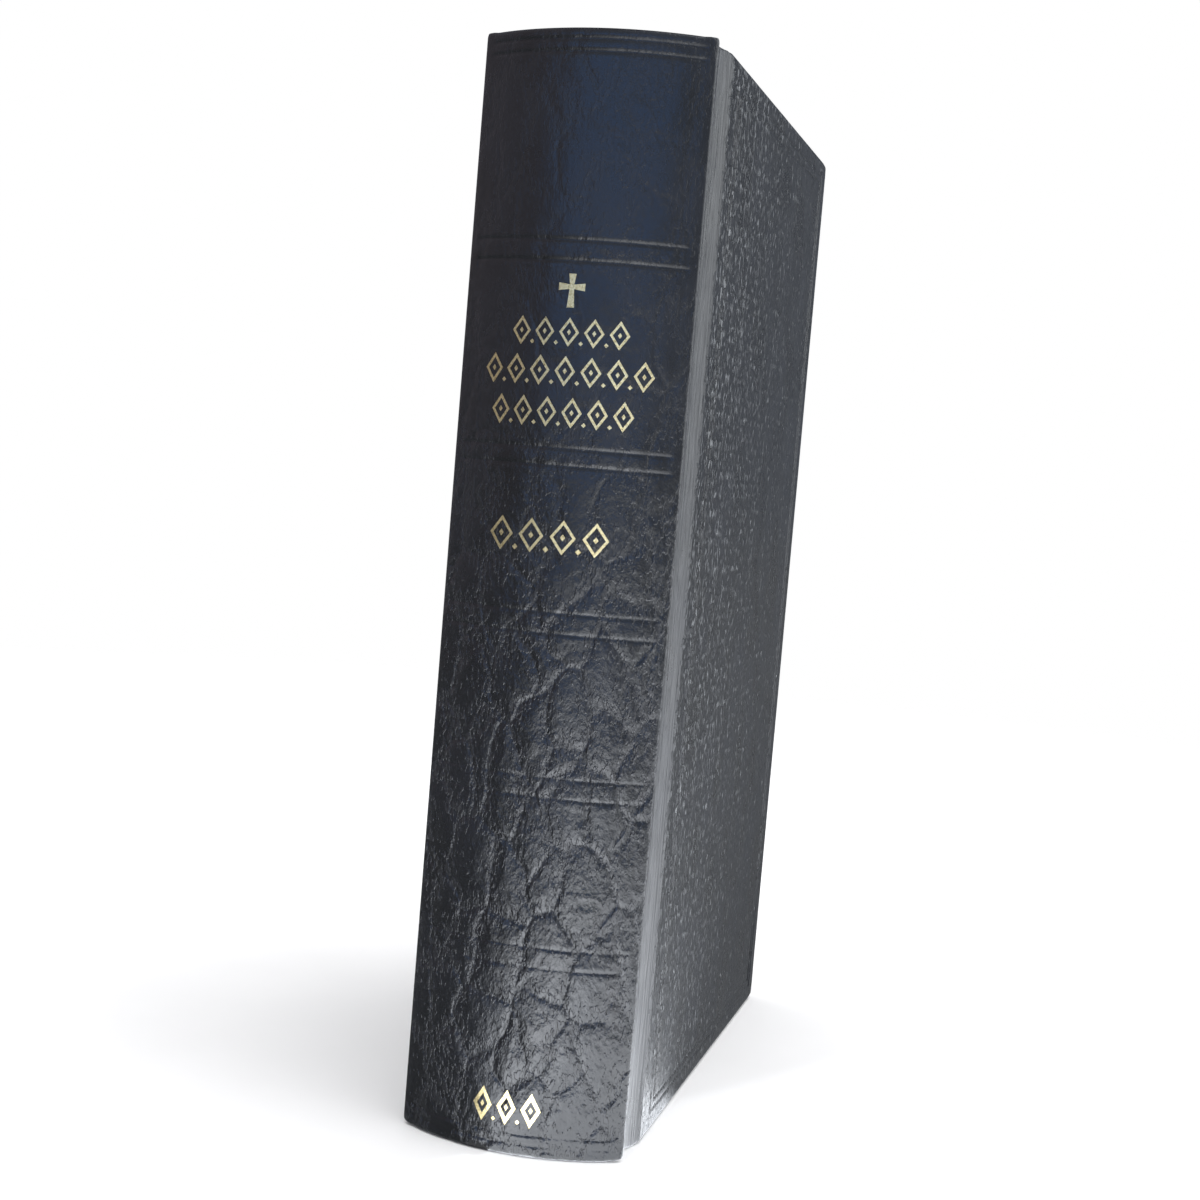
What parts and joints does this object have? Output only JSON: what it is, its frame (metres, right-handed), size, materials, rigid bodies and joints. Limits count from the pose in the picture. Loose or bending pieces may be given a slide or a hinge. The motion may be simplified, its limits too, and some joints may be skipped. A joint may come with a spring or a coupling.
{
  "type": "prayer book",
  "caption": "Small case-bound book with a rounded leather spine, hinged leather-covered boards, endpapers and sewn gatherings that fan open.",
  "frame": {"origin": "middle of the closed book's base, on the surface it stands on, at its tail", "axes": "+Z from tail to head, the book's longest side; +X through the thickness, towards the front cover, the shortest side; +Y from the spine to the fore-edge"},
  "size_m": [0.0326, 0.095, 0.15],
  "materials": {
    "leather": "navy-black bonded leather, grained, satin",
    "card": "grey-brown binder's board",
    "leaves": "thin off-white book paper",
    "endpaper": "plain cream endpaper",
    "lining": "brown kraft lining paper",
    "mull": "open-weave cotton cloth",
    "headband": "striped woven bead, dark red and cream",
    "thread": "white linen thread"
  },
  "bodies": {
    "root": {"spine_leather": "leather", "spine_inlay": "card", "spine_lining": "lining", "mull": "mull", "sewn_folds": "leaves", "sewing_thread": "thread", "headband": "headband", "tailband": "headband"},
    "front_cover": {"front_board": "card", "front_cover_leather": "leather", "front_mull_flap": "mull", "front_pastedown": "endpaper"},
    "back_cover": {"back_board": "card", "back_cover_leather": "leather", "back_mull_flap": "mull", "back_pastedown": "endpaper"},
    "front_flyleaf": {"front_flyleaf": "endpaper"},
    "back_flyleaf": {"back_flyleaf": "endpaper"},
    "gathering_01": {"gathering_01": "leaves"},
    "gathering_02": {"gathering_02": "leaves"},
    "gathering_03": {"gathering_03": "leaves"},
    "gathering_04": {"gathering_04": "leaves"},
    "gathering_05": {"gathering_05": "leaves"},
    "gathering_06": {"gathering_06": "leaves"},
    "gathering_07": {"gathering_07": "leaves"},
    "gathering_08": {"gathering_08": "leaves"},
    "gathering_09": {"gathering_09": "leaves"},
    "gathering_10": {"gathering_10": "leaves"},
    "gathering_11": {"gathering_11": "leaves"},
    "gathering_12": {"gathering_12": "leaves"},
    "gathering_13": {"gathering_13": "leaves"},
    "gathering_14": {"gathering_14": "leaves"},
    "gathering_15": {"gathering_15": "leaves"},
    "gathering_16": {"gathering_16": "leaves"},
    "gathering_17": {"gathering_17": "leaves"},
    "gathering_18": {"gathering_18": "leaves"},
    "gathering_19": {"gathering_19": "leaves"},
    "gathering_20": {"gathering_20": "leaves"},
    "gathering_21": {"gathering_21": "leaves"},
    "gathering_22": {"gathering_22": "leaves"},
    "gathering_23": {"gathering_23": "leaves"},
    "gathering_24": {"gathering_24": "leaves"}
  },
  "joints": [
    {"name": "front_cover_hinge", "type": "hinge", "parent": "root", "child": "front_cover", "pos_m": [0.01645, -0.039, 0.075], "axis": [0, 0, -1], "range_deg": [0, 180]},
    {"name": "back_cover_hinge", "type": "hinge", "parent": "root", "child": "back_cover", "pos_m": [-0.01645, -0.039, 0.075], "axis": [0, 0, 1], "range_deg": [0, 180]},
    {"name": "front_flyleaf_turn", "type": "hinge", "parent": "root", "child": "front_flyleaf", "pos_m": [0.01302, -0.0395, 0.075], "axis": [0, 0, -1], "range_deg": [0, 70]},
    {"name": "back_flyleaf_turn", "type": "hinge", "parent": "root", "child": "back_flyleaf", "pos_m": [-0.01302, -0.0395, 0.075], "axis": [0, 0, 1], "range_deg": [0, 70]},
    {"name": "gathering_01_turn", "type": "hinge", "parent": "root", "child": "gathering_01", "pos_m": [0.01236, -0.0395, 0.075], "axis": [0, 0, -1], "range_deg": [0, 60]},
    {"name": "gathering_02_turn", "type": "hinge", "parent": "root", "child": "gathering_02", "pos_m": [0.01129, -0.0395, 0.075], "axis": [0, 0, -1], "range_deg": [0, 55]},
    {"name": "gathering_03_turn", "type": "hinge", "parent": "root", "child": "gathering_03", "pos_m": [0.01021, -0.0395, 0.075], "axis": [0, 0, -1], "range_deg": [0, 50]},
    {"name": "gathering_04_turn", "type": "hinge", "parent": "root", "child": "gathering_04", "pos_m": [0.00914, -0.0395, 0.075], "axis": [0, 0, -1], "range_deg": [0, 45]},
    {"name": "gathering_05_turn", "type": "hinge", "parent": "root", "child": "gathering_05", "pos_m": [0.00806, -0.0395, 0.075], "axis": [0, 0, -1], "range_deg": [0, 40]},
    {"name": "gathering_06_turn", "type": "hinge", "parent": "root", "child": "gathering_06", "pos_m": [0.00699, -0.0395, 0.075], "axis": [0, 0, -1], "range_deg": [0, 35]},
    {"name": "gathering_07_turn", "type": "hinge", "parent": "root", "child": "gathering_07", "pos_m": [0.00591, -0.0395, 0.075], "axis": [0, 0, -1], "range_deg": [0, 30]},
    {"name": "gathering_08_turn", "type": "hinge", "parent": "root", "child": "gathering_08", "pos_m": [0.00484, -0.0395, 0.075], "axis": [0, 0, -1], "range_deg": [0, 25]},
    {"name": "gathering_09_turn", "type": "hinge", "parent": "root", "child": "gathering_09", "pos_m": [0.00376, -0.0395, 0.075], "axis": [0, 0, -1], "range_deg": [0, 20]},
    {"name": "gathering_10_turn", "type": "hinge", "parent": "root", "child": "gathering_10", "pos_m": [0.00269, -0.0395, 0.075], "axis": [0, 0, -1], "range_deg": [0, 15]},
    {"name": "gathering_11_turn", "type": "hinge", "parent": "root", "child": "gathering_11", "pos_m": [0.00161, -0.0395, 0.075], "axis": [0, 0, -1], "range_deg": [0, 10]},
    {"name": "gathering_12_turn", "type": "hinge", "parent": "root", "child": "gathering_12", "pos_m": [0.00054, -0.0395, 0.075], "axis": [0, 0, -1], "range_deg": [0, 5]},
    {"name": "gathering_13_turn", "type": "hinge", "parent": "root", "child": "gathering_13", "pos_m": [-0.00054, -0.0395, 0.075], "axis": [0, 0, 1], "range_deg": [0, 5]},
    {"name": "gathering_14_turn", "type": "hinge", "parent": "root", "child": "gathering_14", "pos_m": [-0.00161, -0.0395, 0.075], "axis": [0, 0, 1], "range_deg": [0, 10]},
    {"name": "gathering_15_turn", "type": "hinge", "parent": "root", "child": "gathering_15", "pos_m": [-0.00269, -0.0395, 0.075], "axis": [0, 0, 1], "range_deg": [0, 15]},
    {"name": "gathering_16_turn", "type": "hinge", "parent": "root", "child": "gathering_16", "pos_m": [-0.00376, -0.0395, 0.075], "axis": [0, 0, 1], "range_deg": [0, 20]},
    {"name": "gathering_17_turn", "type": "hinge", "parent": "root", "child": "gathering_17", "pos_m": [-0.00484, -0.0395, 0.075], "axis": [0, 0, 1], "range_deg": [0, 25]},
    {"name": "gathering_18_turn", "type": "hinge", "parent": "root", "child": "gathering_18", "pos_m": [-0.00591, -0.0395, 0.075], "axis": [0, 0, 1], "range_deg": [0, 30]},
    {"name": "gathering_19_turn", "type": "hinge", "parent": "root", "child": "gathering_19", "pos_m": [-0.00699, -0.0395, 0.075], "axis": [0, 0, 1], "range_deg": [0, 35]},
    {"name": "gathering_20_turn", "type": "hinge", "parent": "root", "child": "gathering_20", "pos_m": [-0.00806, -0.0395, 0.075], "axis": [0, 0, 1], "range_deg": [0, 40]},
    {"name": "gathering_21_turn", "type": "hinge", "parent": "root", "child": "gathering_21", "pos_m": [-0.00914, -0.0395, 0.075], "axis": [0, 0, 1], "range_deg": [0, 45]},
    {"name": "gathering_22_turn", "type": "hinge", "parent": "root", "child": "gathering_22", "pos_m": [-0.01021, -0.0395, 0.075], "axis": [0, 0, 1], "range_deg": [0, 50]},
    {"name": "gathering_23_turn", "type": "hinge", "parent": "root", "child": "gathering_23", "pos_m": [-0.01129, -0.0395, 0.075], "axis": [0, 0, 1], "range_deg": [0, 55]},
    {"name": "gathering_24_turn", "type": "hinge", "parent": "root", "child": "gathering_24", "pos_m": [-0.01236, -0.0395, 0.075], "axis": [0, 0, 1], "range_deg": [0, 60]}
  ],
  "couplings": [
    {"joint": "front_flyleaf_turn", "follows": "front_cover_hinge", "ratio": 0.38889},
    {"joint": "back_flyleaf_turn", "follows": "back_cover_hinge", "ratio": 0.38889},
    {"joint": "gathering_01_turn", "follows": "front_cover_hinge", "ratio": 0.33333},
    {"joint": "gathering_02_turn", "follows": "front_cover_hinge", "ratio": 0.30556},
    {"joint": "gathering_03_turn", "follows": "front_cover_hinge", "ratio": 0.27778},
    {"joint": "gathering_04_turn", "follows": "front_cover_hinge", "ratio": 0.25},
    {"joint": "gathering_05_turn", "follows": "front_cover_hinge", "ratio": 0.22222},
    {"joint": "gathering_06_turn", "follows": "front_cover_hinge", "ratio": 0.19444},
    {"joint": "gathering_07_turn", "follows": "front_cover_hinge", "ratio": 0.16667},
    {"joint": "gathering_08_turn", "follows": "front_cover_hinge", "ratio": 0.13889},
    {"joint": "gathering_09_turn", "follows": "front_cover_hinge", "ratio": 0.11111},
    {"joint": "gathering_10_turn", "follows": "front_cover_hinge", "ratio": 0.083333},
    {"joint": "gathering_11_turn", "follows": "front_cover_hinge", "ratio": 0.055556},
    {"joint": "gathering_12_turn", "follows": "front_cover_hinge", "ratio": 0.027778},
    {"joint": "gathering_13_turn", "follows": "back_cover_hinge", "ratio": 0.027778},
    {"joint": "gathering_14_turn", "follows": "back_cover_hinge", "ratio": 0.055556},
    {"joint": "gathering_15_turn", "follows": "back_cover_hinge", "ratio": 0.083333},
    {"joint": "gathering_16_turn", "follows": "back_cover_hinge", "ratio": 0.11111},
    {"joint": "gathering_17_turn", "follows": "back_cover_hinge", "ratio": 0.13889},
    {"joint": "gathering_18_turn", "follows": "back_cover_hinge", "ratio": 0.16667},
    {"joint": "gathering_19_turn", "follows": "back_cover_hinge", "ratio": 0.19444},
    {"joint": "gathering_20_turn", "follows": "back_cover_hinge", "ratio": 0.22222},
    {"joint": "gathering_21_turn", "follows": "back_cover_hinge", "ratio": 0.25},
    {"joint": "gathering_22_turn", "follows": "back_cover_hinge", "ratio": 0.27778},
    {"joint": "gathering_23_turn", "follows": "back_cover_hinge", "ratio": 0.30556},
    {"joint": "gathering_24_turn", "follows": "back_cover_hinge", "ratio": 0.33333}
  ]
}
